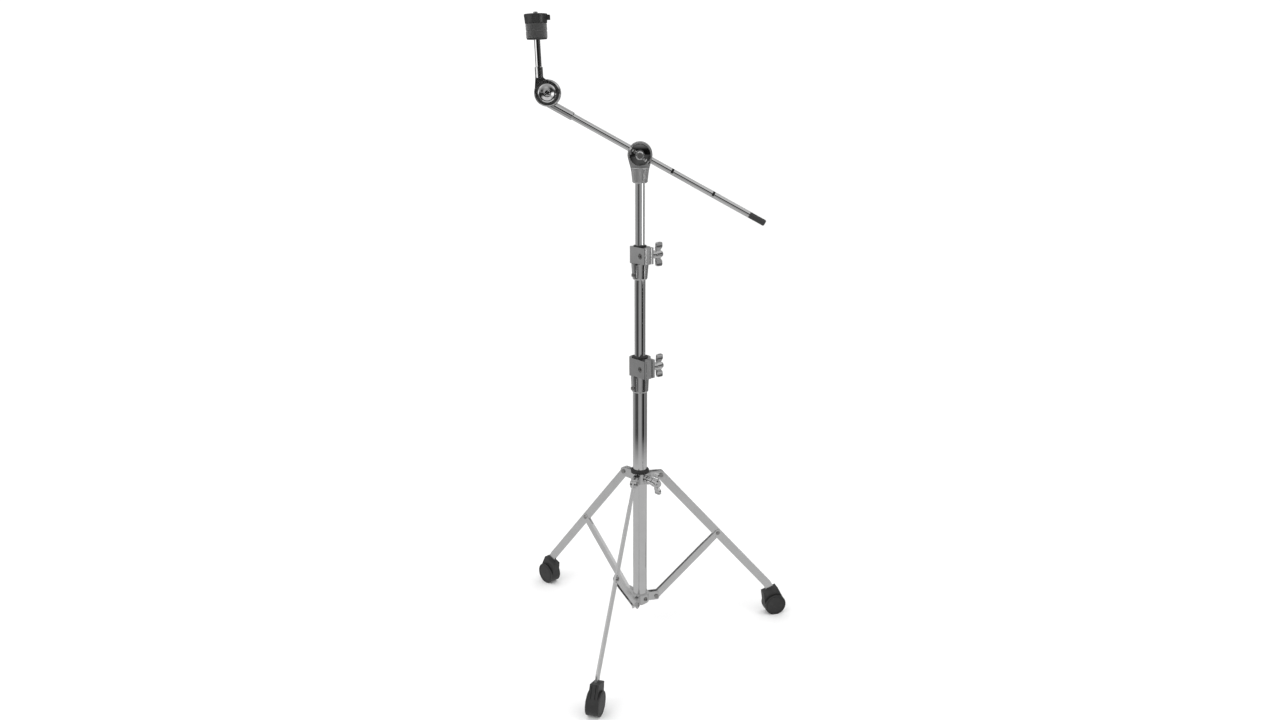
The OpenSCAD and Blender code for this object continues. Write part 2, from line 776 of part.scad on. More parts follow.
// Shallow cuts in the rod's upper and front sides, filled flush by the index marks
module mark_shape(r, depth) {
  first_angle = 145;
  sweep = 150;
  for (x = mark_runs) rotate([0, 90, 0]) rotate([0, 0, first_angle]) rotate_extrude(angle = sweep)
    translate([r - depth, x - mark_w / 2]) square([depth, mark_w]);
}

module boom_rod() {
  color(steel) boom_frame() difference() {
    boom_bar(boom_r, rod_start, boom_right - end_cap_len);
    mark_shape(boom_r + 0.5, 1);
  }
}

module boom_marks() {
  color(black) boom_frame() mark_shape(boom_r - gap / 2, 0.5 - gap);
}

module boom_end_cap() {
  start = boom_right - end_cap_len + gap;
  color(black) boom_frame() {
    boom_bar(boom_r - 0.1, start, boom_right - 1);
    translate([boom_right - 1, 0, 0]) rotate([0, 90, 0]) cylinder(r1 = boom_r - 0.1, r2 = boom_r - 1.1, h = 1);
  }
}

// Puts children on the cymbal tilter's pivot axis, with y = 0 in the plane of the tubes
module seat_pivot() {
  translate([seat_x, 0, seat_z]) children();
}

module cymbal_tilter_base() {
  sleeve_start = -seat_pivot_run + 4;
  color(chrome) difference() {
    union() {
      seat_pivot() translate([0, boom_y, 0]) rod_y(seat_drum_r, seat_plate_t);
      boom_frame() boom_bar(sleeve_r, sleeve_start, -boom_left - 1);
      boom_frame() translate([-boom_left - 1, 0, 0]) rotate([0, 90, 0])
        cylinder(r1 = sleeve_r, r2 = sleeve_r - 0.8, h = 1);
    }
    // room for the head to turn
    seat_pivot() translate([0, boom_y - 3 * head_t, 0]) rod_y(seat_drum_r + 0.6, 3 * head_t);
    boom_frame() boom_bar(boom_r + gap, rod_start - gap, 0);
    seat_pivot() translate([0, boom_y - over, 0]) rod_y(eye_shank_r + gap, seat_plate_t + 2 * over);
  }
}

// Frame of the stem: origin on the stem axis abreast of the pivot, +Z up the stem
module stem_frame() {
  seat_pivot() rotate([0, -stem_lean, 0]) translate([-stem_offset, stem_y, 0]) children();
}

module cymbal_tilter_head() {
  front = head_y - head_t;
  color(chrome) difference() {
    union() {
      seat_pivot() translate([0, front, 0]) rotate([90, 0, 0]) translate([0, 0, -head_t]) rotate_extrude()
        polygon([[0, 0], [seat_drum_r, 0], [seat_drum_r, head_t - 2], [seat_drum_r - 2, head_t], [0, head_t]]);
      seat_pivot() rotate([0, -stem_lean, 0]) translate([0, stem_y, 0]) upright(head_t - gap) polygon([
        [1 - seat_drum_r, 0], [0.5 - stem_offset - socket_r, socket_foot],
        [socket_r - stem_offset - 0.5, socket_foot], [-1.2, socket_foot - 4], [4, seat_drum_r - 3], [0, 0]
      ]);
      stem_frame() translate([0, 0, socket_foot - 1]) cylinder(r = socket_r, h = socket_top - socket_foot);
      stem_frame() translate([0, 0, socket_top - 1]) cylinder(r1 = socket_r, r2 = socket_r - 1, h = 1);
    }
    stem_frame() translate([0, 0, socket_foot + 3]) cylinder(r = stem_d / 2 + gap, h = socket_top);
    seat_pivot() translate([0, front - over, 0]) rod_y(eye_shank_r + gap, head_t + 2 * over);
    // recess for the bolt's cap
    seat_pivot() translate([0, front - over, 0]) rod_y(seat_cap_r + 1.5, 2 * over);
  }
}

// Pivot bolt with a dished cap and a cross-slotted centre on the front
module cymbal_tilter_bolt() {
  face = head_y - head_t + 1 - gap;
  color(chrome) seat_pivot() {
    translate([0, face - over, 0]) rod_y(eye_shank_r, seat_nut_y - face + nut_len + 2 + over);
    translate([0, face, 0]) rotate([90, 0, 0]) difference() {
      rotate_extrude() polygon([
        [0, 0], [seat_cap_r, 0], [seat_cap_r, 3], [seat_cap_r - 2, 4.6], [seat_cap_r - 3.5, 4.4],
        [6.5, 2.2], [5.2, 2.2], [5.2, 4.6], [4.4, 5.2], [0, 5.4]
      ]);
      for (turn = [45, 135]) rotate([0, 0, turn]) translate([-3.6, -0.8, 3]) cube([7.2, 1.6, 4]);
    }
  }
}

module cymbal_tilter_wing_nut() {
  wing_turn = -35;
  color(chrome) seat_pivot() translate([0, seat_nut_y, 0]) rotate([0, wing_turn, 0])
    wing_nut(eye_shank_r + gap);
}

// ---------- cymbal seat ----------

module stem() {
  thread_pitch = 1.25;
  thread_turns = 16;
  color(chrome) stem_frame() rotate_extrude() polygon(concat(
    [[0, socket_foot + 3 + gap], [stem_d / 2, socket_foot + 3 + gap], [stem_d / 2, washer_z - gap],
     [stud_d / 2, washer_z - gap]],
    [for (i = [0:thread_turns - 1], side = [0, 1])
      [stud_d / 2 - side * 0.5, stud_top - 1 - (thread_turns - i - side / 2) * thread_pitch]],
    [[stud_d / 2, stud_top - 1], [stud_d / 2 - 1, stud_top], [0, stud_top]]
  ));
}

module cup_washer() {
  color(black) stem_frame() rotate_extrude() polygon([
    [stud_d / 2 + gap, washer_z], [16, washer_z], [16.5, washer_z + 0.5], [16.5, washer_z + washer_h],
    [stud_d / 2 + gap, washer_z + washer_h]
  ]);
}

module stem_sleeve() {
  color(black) stem_frame() tube(stem_sleeve_r, stud_d / 2 + gap, felt_z, sleeve_top - felt_z);
}

module felt(z) {
  color(felt_grey) stem_frame() tube(felt_d / 2, stem_sleeve_r + 2 * gap, z, felt_h);
}

module release_cap() {
  foot_radius = felt_d / 2 + 0.4;
  color(black) stem_frame() difference() {
    translate([0, 0, cap_z]) rotate_extrude() polygon([
      [0, 0], [foot_radius, 0], [cap_d / 2, cap_h - 1], [cap_d / 2 - 0.8, cap_h], [0, cap_h]
    ]);
    translate([0, 0, cap_z - over]) cylinder(r = stud_d / 2 + gap, h = cap_h + 2 * over);
    translate([0, 0, cap_z - over]) cylinder(r = stem_sleeve_r + gap, h = over + sleeve_top - cap_z + gap);
    translate([-slot_end, -button_w / 2 - gap, button_z - gap])
      cube([slot_end + cap_d, button_w + 2 * gap, button_h + 2 * gap]);
  }
}

// Button plate: the stud passes through its long hole, the spring pushes on its tail
module release_button() {
  hole_r = stud_d / 2 + 0.1;
  color(black) stem_frame() translate([0, 0, button_z]) difference() {
    linear_extrude(button_h) soft_rect([-button_tail, -button_w / 2], [button_reach, button_w / 2], 1);
    translate([0, 0, -over]) linear_extrude(button_h + 2 * over) {
      circle(hole_r);
      translate([button_travel, 0]) circle(hole_r);
      translate([0, -hole_r]) square([button_travel, 2 * hole_r]);
    }
  }
}

// Coil spring between the button's tail and the end of its slot
module release_spring() {
  coil_r = 2.6;
  wire = 0.6;
  turns = 6;
  length = slot_end - button_tail - 4 * gap;
  step = length / turns;
  color(steel) stem_frame() translate([-button_tail - 2 * gap, 0, button_z + button_h / 2]) rotate([0, -90, 0])
    rotate_extrude() polygon(concat(
      [for (i = [0:turns - 1], side = [0, 1]) [coil_r + side * wire, (i + side / 2) * step]],
      [[coil_r, length], [coil_r - wire, length], [coil_r - wire, 0]]
    ));
}

base_tube();
base_tube_plug();
leg_collar();
collar_screw();
collar_pins();
lower_clamp();
lower_bushing();
clamp_bolt(lower_bolt_x, lower_bolt_z, lower_front);  // lower_clamp_bolt
key_screw(lower_clamp_z, base_r, lower_key_r);  // lower_key_screw
clamp_wing_nut(lower_bolt_x, lower_bolt_z);  // lower_wing_nut
leg_hub();
hub_ring();
hub_pins();
hub_wing_screw();
leg(front_az);  // leg_front
leg(right_az);  // leg_right
leg(left_az);  // leg_left
foot(front_az);  // foot_front
foot(right_az);  // foot_right
foot(left_az);  // foot_left
strut(front_az);  // strut_front
strut(right_az);  // strut_right
strut(left_az);  // strut_left
strut_rivets(front_az);  // strut_rivets_front
strut_rivets(right_az);  // strut_rivets_right
strut_rivets(left_az);  // strut_rivets_left
middle_tube();
middle_tube_plug();
upper_clamp();
upper_bushing();
clamp_bolt(upper_bolt_x, upper_bolt_z, upper_front);  // upper_clamp_bolt
key_screw(upper_clamp_z, middle_r, upper_key_r);  // upper_key_screw
clamp_wing_nut(upper_bolt_x, upper_bolt_z);  // upper_wing_nut
upper_tube();
upper_tube_plug();
tilter_base();
tilter_head();
tilter_eye_bolt();
tilter_cap();
tilter_wing_nut();
boom_rod();
boom_marks();
boom_end_cap();
cymbal_tilter_base();
cymbal_tilter_head();
cymbal_tilter_bolt();
cymbal_tilter_wing_nut();
stem();
cup_washer();
stem_sleeve();
felt(felt_z);  // lower_felt
felt(upper_felt_z);  // upper_felt
release_cap();
release_button();
release_spring();
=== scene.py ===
import json
import math
import random

import bpy
from mathutils import Matrix, Vector, noise


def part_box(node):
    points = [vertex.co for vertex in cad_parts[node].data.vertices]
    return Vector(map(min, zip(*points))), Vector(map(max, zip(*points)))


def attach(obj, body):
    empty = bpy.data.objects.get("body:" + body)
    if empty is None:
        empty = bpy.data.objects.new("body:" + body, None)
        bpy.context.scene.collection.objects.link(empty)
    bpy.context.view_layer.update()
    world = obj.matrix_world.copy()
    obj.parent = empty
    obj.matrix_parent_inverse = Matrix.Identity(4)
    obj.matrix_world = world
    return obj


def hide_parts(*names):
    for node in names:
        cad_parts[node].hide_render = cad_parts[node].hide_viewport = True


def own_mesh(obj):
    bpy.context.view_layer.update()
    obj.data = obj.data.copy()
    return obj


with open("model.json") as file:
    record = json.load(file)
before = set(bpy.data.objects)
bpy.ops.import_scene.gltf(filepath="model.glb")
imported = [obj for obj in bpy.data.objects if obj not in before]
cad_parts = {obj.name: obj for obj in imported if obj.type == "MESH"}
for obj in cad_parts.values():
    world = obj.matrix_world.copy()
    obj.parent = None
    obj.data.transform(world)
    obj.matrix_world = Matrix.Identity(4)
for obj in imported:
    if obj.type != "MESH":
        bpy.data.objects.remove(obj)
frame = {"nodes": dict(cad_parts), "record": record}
record = frame["record"]
nodes = frame["nodes"]
slot_of = {s["node"]: s["material_slot"] for s in record["subparts"]}
joint_of = {j["name"]: j for j in record["behaviour"]["joints"]}


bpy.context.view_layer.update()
scene = bpy.context.scene
MM = 0.001
TURN = 2 * math.pi
SIDES = ("front", "right", "left")

# ---------------------------------------------------------------- node material helpers


class Graph:
    """Short names for building a node tree."""

    def __init__(self, tree):
        self.tree = tree

    def node(self, kind, **values):
        n = self.tree.nodes.new(kind)
        for k, v in values.items():
            setattr(n, k, v)
        return n

    def link(self, a, b):
        self.tree.links.new(a, b)

    def value(self, socket, v):
        if hasattr(v, "is_output"):
            self.link(v, socket)
        else:
            socket.default_value = v

    def noise(self, vector, scale, detail=3.0, rough=0.5):
        n = self.node("ShaderNodeTexNoise")
        self.value(n.inputs["Vector"], vector)
        n.inputs["Scale"].default_value = scale
        n.inputs["Detail"].default_value = detail
        n.inputs["Roughness"].default_value = rough
        return n.outputs["Fac"]

    def span(self, fac, low, high, out_low, out_high):
        n = self.node("ShaderNodeMapRange", clamp=True)
        self.value(n.inputs[0], fac)
        for i, v in enumerate((low, high, out_low, out_high)):
            n.inputs[i + 1].default_value = v
        return n.outputs[0]

    def math(self, operation, a, b=0.0):
        n = self.node("ShaderNodeMath", operation=operation)
        self.value(n.inputs[0], a)
        self.value(n.inputs[1], b)
        return n.outputs[0]

    def mix(self, fac, a, b):
        n = self.node("ShaderNodeMix", data_type="RGBA")
        self.value(n.inputs[0], fac)
        self.value(n.inputs[6], a)
        self.value(n.inputs[7], b)
        return n.outputs[2]

    def bump(self, height, strength, distance, normal=None):
        n = self.node("ShaderNodeBump")
        n.inputs["Strength"].default_value = strength
        n.inputs["Distance"].default_value = distance
        self.link(height, n.inputs["Height"])
        if normal is not None:
            self.link(normal, n.inputs["Normal"])
        return n.outputs["Normal"]

    def scaled(self, vector, x, y, z):
        n = self.node("ShaderNodeMapping")
        self.link(vector, n.inputs["Vector"])
        n.inputs["Scale"].default_value = (x, y, z)
        return n.outputs["Vector"]

    def surface(self, color, metallic, roughness, normal=None, **extra):
        b = self.node("ShaderNodeBsdfPrincipled")
        self.value(b.inputs["Base Color"], color)
        self.value(b.inputs["Metallic"], metallic)
        self.value(b.inputs["Roughness"], roughness)
        if normal is not None:
            self.link(normal, b.inputs["Normal"])
        for k, v in extra.items():
            self.value(b.inputs[k.replace("_", " ")], v)
        self.end("ShaderNodeOutputMaterial", b)

    def end(self, kind, shader):
        self.link(shader.outputs[0], self.node(kind).inputs[0])


def new_material(name):
    """A material with an empty tree, its graph, and the place on the object, in metres."""
    m = bpy.data.materials.new(name)
    m.use_nodes = True
    m.node_tree.nodes.clear()
    g = Graph(m.node_tree)
    return m, g, g.node("ShaderNodeTexCoord").outputs["Object"]


def grey(v, warm=0.0):
    return (v * (1 + warm), v, v * (1 - warm), 1)


def chrome(name, shade, rough, ripple, smear=0.05, draw=(1, 1, 1)):
    """Chrome plate: faint waviness, wipe marks and tiny pits. draw stretches the wipe marks."""
    m, g, at = new_material(name)
    wave = g.noise(at, 60, 2)
    wipe = g.noise(g.scaled(at, *draw), 260, 4, 0.6)
    fine = g.noise(at, 2600, 2)
    pits = g.span(g.noise(at, 1400, 1), 0.72, 0.78, 0, 1)
    r = g.span(wipe, 0.35, 0.75, rough, rough + smear)
    r = g.math("ADD", r, g.math("MULTIPLY", pits, 0.18))
    color = g.mix(g.span(g.noise(at, 35, 3), 0.3, 0.7, 0, 1), grey(shade * 0.94), grey(shade))
    color = g.mix(g.math("MULTIPLY", pits, 0.35), color, grey(shade * 0.55))
    n = g.bump(wave, ripple, 0.0006)
    n = g.bump(fine, ripple * 0.25, 0.00008, n)
    g.surface(color, 1.0, r, n)
    return m


def screw_steel(name, shade, rough):
    """Turned steel: rings of tool marks and a cloudy shade."""
    m, g, at = new_material(name)
    turned = g.noise(g.scaled(at, 1, 1, 4), 900, 4, 0.7)
    color = g.mix(g.span(g.noise(at, 120, 3), 0.3, 0.7, 0, 1), grey(shade * 0.7, 0.02), grey(shade, 0.01))
    g.surface(color, 1.0, g.span(turned, 0.3, 0.7, rough, rough + 0.2), g.bump(turned, 0.35, 0.0001))
    return m


def rubber(name, shade):
    """Moulded rubber: fine grain, clouds and a little dust."""
    m, g, at = new_material(name)
    grain = g.noise(at, 1500, 3, 0.7)
    cloud = g.noise(at, 45, 4)
    dust = g.span(g.noise(at, 160, 5, 0.7), 0.56, 0.8, 0, 0.5)
    color = g.mix(g.span(cloud, 0.3, 0.7, 0, 1), grey(shade * 0.75), grey(shade * 1.2))
    color = g.mix(dust, color, grey(shade * 3.2, 0.03))
    rough = g.span(grain, 0.3, 0.7, 0.36, 0.56)
    g.surface(color, 0.0, rough, g.bump(grain, 0.4, 0.0002), Specular_IOR_Level=0.55)
    return m


def plastic(name, shade, rough, grain_size, grain_depth, specular=0.45):
    """Moulded plastic: fine grain and faint scuffs round the piece."""
    m, g, at = new_material(name)
    grain = g.noise(at, grain_size, 2, 0.6)
    scuff = g.noise(g.scaled(at, 1, 1, 6), 180, 5, 0.7)
    color = g.mix(g.span(scuff, 0.35, 0.7, 0, 1), grey(shade * 0.8), grey(shade * 1.15))
    r = g.span(g.math("ADD", grain, g.math("MULTIPLY", scuff, 0.6)), 0.5, 1.1, rough, rough + 0.22)
    g.surface(color, 0.0, r, g.bump(grain, 0.4, grain_depth), Specular_IOR_Level=specular)
    return m


def felt_material(name, shade):
    """Pressed wool: tufts, darker layers across the stem and pale flecks."""
    m, g, at = new_material(name)
    tuft = g.noise(at, 420, 6, 0.75)
    layer = g.noise(g.scaled(at, 1, 1, 9), 160, 4, 0.7)
    fleck = g.span(g.noise(at, 1100, 2, 0.5), 0.62, 0.72, 0, 1)
    color = g.mix(g.span(tuft, 0.3, 0.7, 0, 1), grey(shade * 0.55), grey(shade * 1.35))
    color = g.mix(g.span(layer, 0.42, 0.56, 0, 0.8), color, grey(shade * 0.3, 0.02))
    color = g.mix(g.math("MULTIPLY", fleck, 0.5), color, grey(shade * 2.6))
    g.surface(color, 0.0, 0.95, g.bump(tuft, 0.9, 0.0006), Sheen_Weight=0.5, Sheen_Roughness=0.6,
              Specular_IOR_Level=0.15)
    return m


def fibre_material(name, shade):
    m, g, at = new_material(name)
    color = g.mix(g.span(g.noise(at, 700, 2), 0.35, 0.65, 0, 1), grey(shade * 0.6), grey(shade * 2.2))
    g.surface(color, 0.0, 0.85, Specular_IOR_Level=0.2)
    return m


# one finish for each material slot of the record
finish = {
    "tube_chrome": chrome("tube_chrome", 0.86, 0.035, 0.05, 0.05, (1, 1, 0.08)),
    "leg_chrome": chrome("leg_chrome", 0.84, 0.16, 0.10, 0.1, (1, 1, 0.3)),
    "cast_chrome": chrome("cast_chrome", 0.76, 0.1, 0.28, 0.07),
    "nut_chrome": chrome("nut_chrome", 0.78, 0.09, 0.3, 0.08),
    "rod_chrome": chrome("rod_chrome", 0.84, 0.06, 0.06, 0.06, (0.3, 1, 0.3)),
    "screw_steel": screw_steel("screw_steel", 0.42, 0.28),
    "rivet_steel": screw_steel("rivet_steel", 0.5, 0.24),
    "rubber_foot": rubber("rubber_foot", 0.02),
    "black_nylon": plastic("black_nylon", 0.02, 0.42, 900, 0.0001),
    "black_cap": plastic("black_cap", 0.016, 0.2, 1600, 0.00006, 1.0),
    "black_mark": plastic("black_mark", 0.008, 0.6, 1200, 0.00005),
    "black_end": plastic("black_end", 0.035, 0.35, 800, 0.00008),
    "felt": felt_material("felt", 0.035),
}
fibre = fibre_material("felt_fibre", 0.045)

# nodes that get another finish than the rest of their slot: a rougher chrome on the tilter base, a much
# darker chrome on the tilter cap
own_finish = {
    "tilter_base": chrome("satin_chrome", 0.8, 0.34, 0.2, 0.08),
    # the tilter cap's chrome is far darker than the rest of the plating
    "tilter_cap": chrome("dark_chrome", 0.2, 0.05, 0.08, 0.05),
}

for name, obj in nodes.items():
    obj.data.materials.clear()
    obj.data.materials.append(own_finish.get(name, finish[slot_of[name]]))

# ---------------------------------------------------------------- soft edges on the CAD pieces

WELD_GAP = 1e-6
SHARP_ANGLE = math.radians(28)
edge_mm = {
    0.9: [f"leg_{side}" for side in SIDES],
    0.8: [f"foot_{side}" for side in SIDES],
    0.7: ["lower_wing_nut", "upper_wing_nut", "hub_wing_screw", "tilter_wing_nut", "cymbal_tilter_wing_nut"],
    0.6: ["leg_hub", "leg_collar"],
    0.5: ["hub_ring", "lower_clamp", "upper_clamp", "tilter_base", "cymbal_tilter_base", "release_cap",
          "release_button"],
    0.45: [f"strut_{side}" for side in SIDES],
    0.4: ["tilter_head", "cymbal_tilter_head", "lower_key_screw", "upper_key_screw"],
    0.35: ["collar_pins", "hub_pins"],
    0.3: ["boom_end_cap"],
    0.25: ["lower_bushing", "upper_bushing"],
    0.2: ["cymbal_tilter_bolt"],
    0.15: ["tilter_cap", "cup_washer", "collar_screw"],
}


def soften(obj, width):
    weld = obj.modifiers.new("weld", "WELD")
    weld.merge_threshold = WELD_GAP
    bevel = obj.modifiers.new("bevel", "BEVEL")
    bevel.width = width
    bevel.segments = 3
    bevel.limit_method = "ANGLE"
    bevel.angle_limit = SHARP_ANGLE
    bevel.use_clamp_overlap = True
    even = obj.modifiers.new("even", "WEIGHTED_NORMAL")
    even.weight = 60
    even.keep_sharp = False


for width, names in edge_mm.items():
    for name in names:
        soften(nodes[name], width * MM)

# ---------------------------------------------------------------- mesh helpers


def build_mesh(name, verts, faces, material, smooth=True):
    """An object of this mesh, with this material."""
    mesh = bpy.data.meshes.new(name)
    mesh.from_pydata(verts, [], faces)
    mesh.update()
    if smooth:
        mesh.polygons.foreach_set("use_smooth", [True] * len(mesh.polygons))
    mesh.materials.append(material)
    obj = bpy.data.objects.new(name, mesh)
    scene.collection.objects.link(obj)
    return obj


def axis_frame(origin, z_axis, x_hint):
    """The turn and shift that put local Z along z_axis at origin, with local X near x_hint."""
    z = Vector(z_axis).normalized()
    x = (Vector(x_hint) - Vector(x_hint).dot(z) * z).normalized()
    y = z.cross(x)
    m = Matrix((x, y, z)).transposed().to_4x4()
    m.translation = Vector(origin)
    return m


# ---------------------------------------------------------------- felts

FELT_FILLET = 1.4 * MM
AROUND = 220            # steps round a felt
FACE_STEPS = 9          # steps across a flat face
FILLET_STEPS = 6
RIM_STEPS = 12
BORE_STEPS = 6
BORE_FADE = 3 * MM      # the wool's roughness grows over this distance from the bore
FLAT = 1e-6
FIBRES = 2600           # loose fibres on each felt
FIBRE_STEPS = 3
FIBRE_RISE = (-0.05, 0.8, 1.0, 0.5)
RIM_DEPTH = 2.2 * MM    # fibres start this near the rim
RIM_MARGIN = 0.02 * MM  # and stay this far inside the felt's faces

stem_axis = Vector(joint_of["cap_lift"]["axis"]).normalized()
seat_point = Vector(next(m for m in record["mounts"] if m["name"] == "cymbal_seat")["pos_m"])


def felt_size(node):
    """Lowest and highest place along the stem, and the bore's and rim's radius."""
    arms = [v.co - seat_point for v in nodes[node].data.vertices]
    runs = [arm.dot(stem_axis) for arm in arms]
    radii = [(arm - run * stem_axis).length for arm, run in zip(arms, runs)]
    return min(runs), max(runs), min(radii), max(radii)


def felt_profile(low, high, bore, outer):
    """The ring's section, once round: lower face, fillet, rim, fillet, upper face and bore."""
    inner = outer - FELT_FILLET
    rim_height = high - low - 2 * FELT_FILLET
    arc = [math.pi / 2 * t / FILLET_STEPS for t in range(FILLET_STEPS + 1)]
    points = [(bore + (inner - bore) * t / FACE_STEPS, low) for t in range(FACE_STEPS)]
    for a in arc:
        points.append((inner + FELT_FILLET * math.sin(a), low + FELT_FILLET - FELT_FILLET * math.cos(a)))
    points += [(outer, low + FELT_FILLET + rim_height * t / RIM_STEPS) for t in range(1, RIM_STEPS)]
    for a in arc:
        points.append((inner + FELT_FILLET * math.cos(a), high - FELT_FILLET + FELT_FILLET * math.sin(a)))
    points += [(inner - (inner - bore) * t / FACE_STEPS, high) for t in range(1, FACE_STEPS + 1)]
    points += [(bore, high - (high - low) * t / BORE_STEPS) for t in range(1, BORE_STEPS)]
    return points


def wool_shift(p, seed):
    """How far the rough wool stands out at p; mostly negative, so it stays inside the CAD felt."""
    tuft = noise.noise(p * 330 + Vector((seed, 0, 0)))
    grain = noise.noise(p * 1300 + Vector((0, seed, 0)))
    layer = noise.noise(Vector((p.x * 120, p.y * 120, p.z * 1100 + seed)))
    return (0.22 * tuft + 0.16 * grain + 0.14 * layer - 0.3) * MM


def felt_piece(node, body, seed):
    """A rough wool ring in place of a CAD felt, and the loose fibres on its rim."""
    low, high, bore, outer = felt_size(node)
    profile = felt_profile(low, high, bore, outer)
    count = len(profile)
    middle = (low + high) / 2
    to_stem = axis_frame(seat_point, stem_axis, (1, 0, 0))
    verts, faces, spots = [], [], []
    for i in range(AROUND):
        angle = TURN * i / AROUND
        for r, z in profile:
            p = Vector((r * math.cos(angle), r * math.sin(angle), z))
            side = min(1.0, max(0.0, (r - bore) / BORE_FADE))
            shift = wool_shift(p, seed) * side
            on_rim = abs(z - low) > FLAT and abs(high - z) > FLAT
            r2 = r + shift * (1.0 if on_rim else 0.2)
            z2 = z + (0.35 * shift if z > middle else -0.35 * shift)
            q = Vector((r2 * math.cos(angle), r2 * math.sin(angle), z2))
            verts.append(to_stem @ q)
            if side > 0.9 and math.hypot(q.x, q.y) > outer - RIM_DEPTH:
                spots.append((q, angle))
    for i in range(AROUND):
        j = (i + 1) % AROUND
        for k in range(count):
            m = (k + 1) % count
            faces.append((i * count + k, i * count + m, j * count + m, j * count + k))
    felt = build_mesh(node + "_wool", verts, faces, finish["felt"])
    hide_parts(node)
    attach(felt, body)
    fuzz = loose_fibres(node + "_fibres", spots, low + RIM_MARGIN, high - RIM_MARGIN, to_stem, seed)
    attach(fuzz, body)


def loose_fibres(name, spots, low, high, to_stem, seed):
    """Thin curved ribbons that start at random spots on the rim."""
    rng = random.Random(seed)
    verts, faces = [], []
    for _ in range(FIBRES):
        q, angle = rng.choice(spots)
        out = Vector((math.cos(angle), math.sin(angle), 0))
        round_way = Vector((-out.y, out.x, 0))
        way = (round_way * rng.uniform(-1, 1) + Vector((0, 0, rng.uniform(-0.5, 0.5)))).normalized()
        length = rng.uniform(0.5, 1.7) * MM
        lift = rng.uniform(0.05, 0.35) * MM
        half = rng.uniform(0.018, 0.035) * MM
        cross = way.cross(out).normalized() * half
        base = len(verts)
        for step, rise in enumerate(FIBRE_RISE):
            p = q + way * length * step / FIBRE_STEPS + out * lift * rise
            p.z = min(max(p.z, low), high)
            verts += [to_stem @ (p - cross), to_stem @ (p + cross)]
        for step in range(FIBRE_STEPS):
            a = base + 2 * step
            faces.append((a, a + 1, a + 3, a + 2))
    return build_mesh(name, verts, faces, fibre, smooth=False)


felt_piece("lower_felt", "cymbal", 11)
felt_piece("upper_felt", "top_felt", 23)

# ---------------------------------------------------------------- button spring


WIRE = 0.3 * MM
COILS = 6
COIL_STEPS = 28
WIRE_SIDES = 8


def spring_piece():
    """A coiled wire in place of the CAD spring; it rides with the cap."""
    press = Vector(joint_of["button_press"]["axis"]).normalized()
    low_corner, high_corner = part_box("release_spring")
    middle = (low_corner + high_corner) / 2
    arms = [v.co - middle for v in nodes["release_spring"].data.vertices]
    runs = [arm.dot(press) for arm in arms]
    low, high = min(runs), max(runs)
    coil = max((arm - run * press).length for arm, run in zip(arms, runs)) - WIRE
    to_spring = axis_frame(middle, press, (0, 0, 1))
    verts, faces = [], []
    total = COILS * COIL_STEPS
    for i in range(total + 1):
        a = TURN * i / COIL_STEPS
        z = low + WIRE + (high - low - 2 * WIRE) * i / total
        out = Vector((math.cos(a), math.sin(a), 0))
        for k in range(WIRE_SIDES):
            b = TURN * k / WIRE_SIDES
            p = out * (coil + WIRE * math.cos(b))
            p.z = z + WIRE * math.sin(b)
            verts.append(to_spring @ p)
    for i in range(total):
        a, b = i * WIRE_SIDES, (i + 1) * WIRE_SIDES
        for k in range(WIRE_SIDES):
            m = (k + 1) % WIRE_SIDES
            faces.append((a + k, a + m, b + m, b + k))
    faces.append(tuple(range(WIRE_SIDES))[::-1])
    faces.append(tuple(total * WIRE_SIDES + k for k in range(WIRE_SIDES)))
    spring = build_mesh("release_spring_coil", verts, faces, finish["screw_steel"])
    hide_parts("release_spring")
    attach(spring, "cap")
    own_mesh(spring)


spring_piece()

# ---------------------------------------------------------------- floor, world and light


DISC_SIDES = 96
FLOOR_RADIUS = 9.0
SHEET_RADIUS = 1.15
SHEET_FADE = (0.85, 1.1)


def disc(name, radius, height, material):
    verts = [(0, 0, height)]
    for i in range(DISC_SIDES):
        a = TURN * i / DISC_SIDES
        verts.append((radius * math.cos(a), radius * math.sin(a), height))
    faces = [(0, 1 + i, 1 + (i + 1) % DISC_SIDES) for i in range(DISC_SIDES)]
    piece = build_mesh(name, verts, faces, material)
    return piece


def floor_material():
    m, g, at = new_material("floor_paper")
    grain = g.noise(at, 300, 3)
    color = g.mix(g.span(grain, 0.3, 0.7, 0, 1), grey(0.93), grey(0.95))
    g.surface(color, 0.0, 0.9, g.bump(grain, 0.05, 0.0005), Specular_IOR_Level=0.1)
    return m


def painted_reflection_material():
    """A glowing disc that only the chrome sees: a painted reflection of the lit paper under the stand; it
    fades out at its rim.
    """
    m, g, at = new_material("painted_floor_reflection")
    length = g.node("ShaderNodeVectorMath", operation="LENGTH")
    g.link(at, length.inputs[0])
    glow = g.node("ShaderNodeEmission")
    glow.inputs["Color"].default_value = grey(1.0)
    glow.inputs["Strength"].default_value = 0.5
    mix = g.node("ShaderNodeMixShader")
    g.link(g.span(length.outputs["Value"], *SHEET_FADE, 0, 1), mix.inputs[0])
    g.link(glow.outputs[0], mix.inputs[1])
    g.link(g.node("ShaderNodeBsdfTransparent").outputs[0], mix.inputs[2])
    g.end("ShaderNodeOutputMaterial", mix)
    return m


floor = disc("floor", FLOOR_RADIUS, 0, floor_material())
floor.visible_glossy = False
# painted reflection: a glowing disc, seen only in reflections, stands in for the lit floor under the stand
painted_reflection_disc = disc("painted_floor_reflection", SHEET_RADIUS, -MM, painted_reflection_material())
painted_reflection_disc.visible_camera = False
painted_reflection_disc.visible_diffuse = False
painted_reflection_disc.visible_shadow = False


def ramp(g, fac, stops):
    """A colour ramp through stops of place and shade as seen on a screen."""
    n = g.node("ShaderNodeValToRGB")
    elements = n.color_ramp.elements
    while len(elements) < len(stops):
        elements.new(0.5)
    for element, (place, shade) in zip(elements, stops):
        element.position = place
        element.color = grey(shade ** 2.2)
    g.link(fac, n.inputs[0])
    return n.outputs[0]


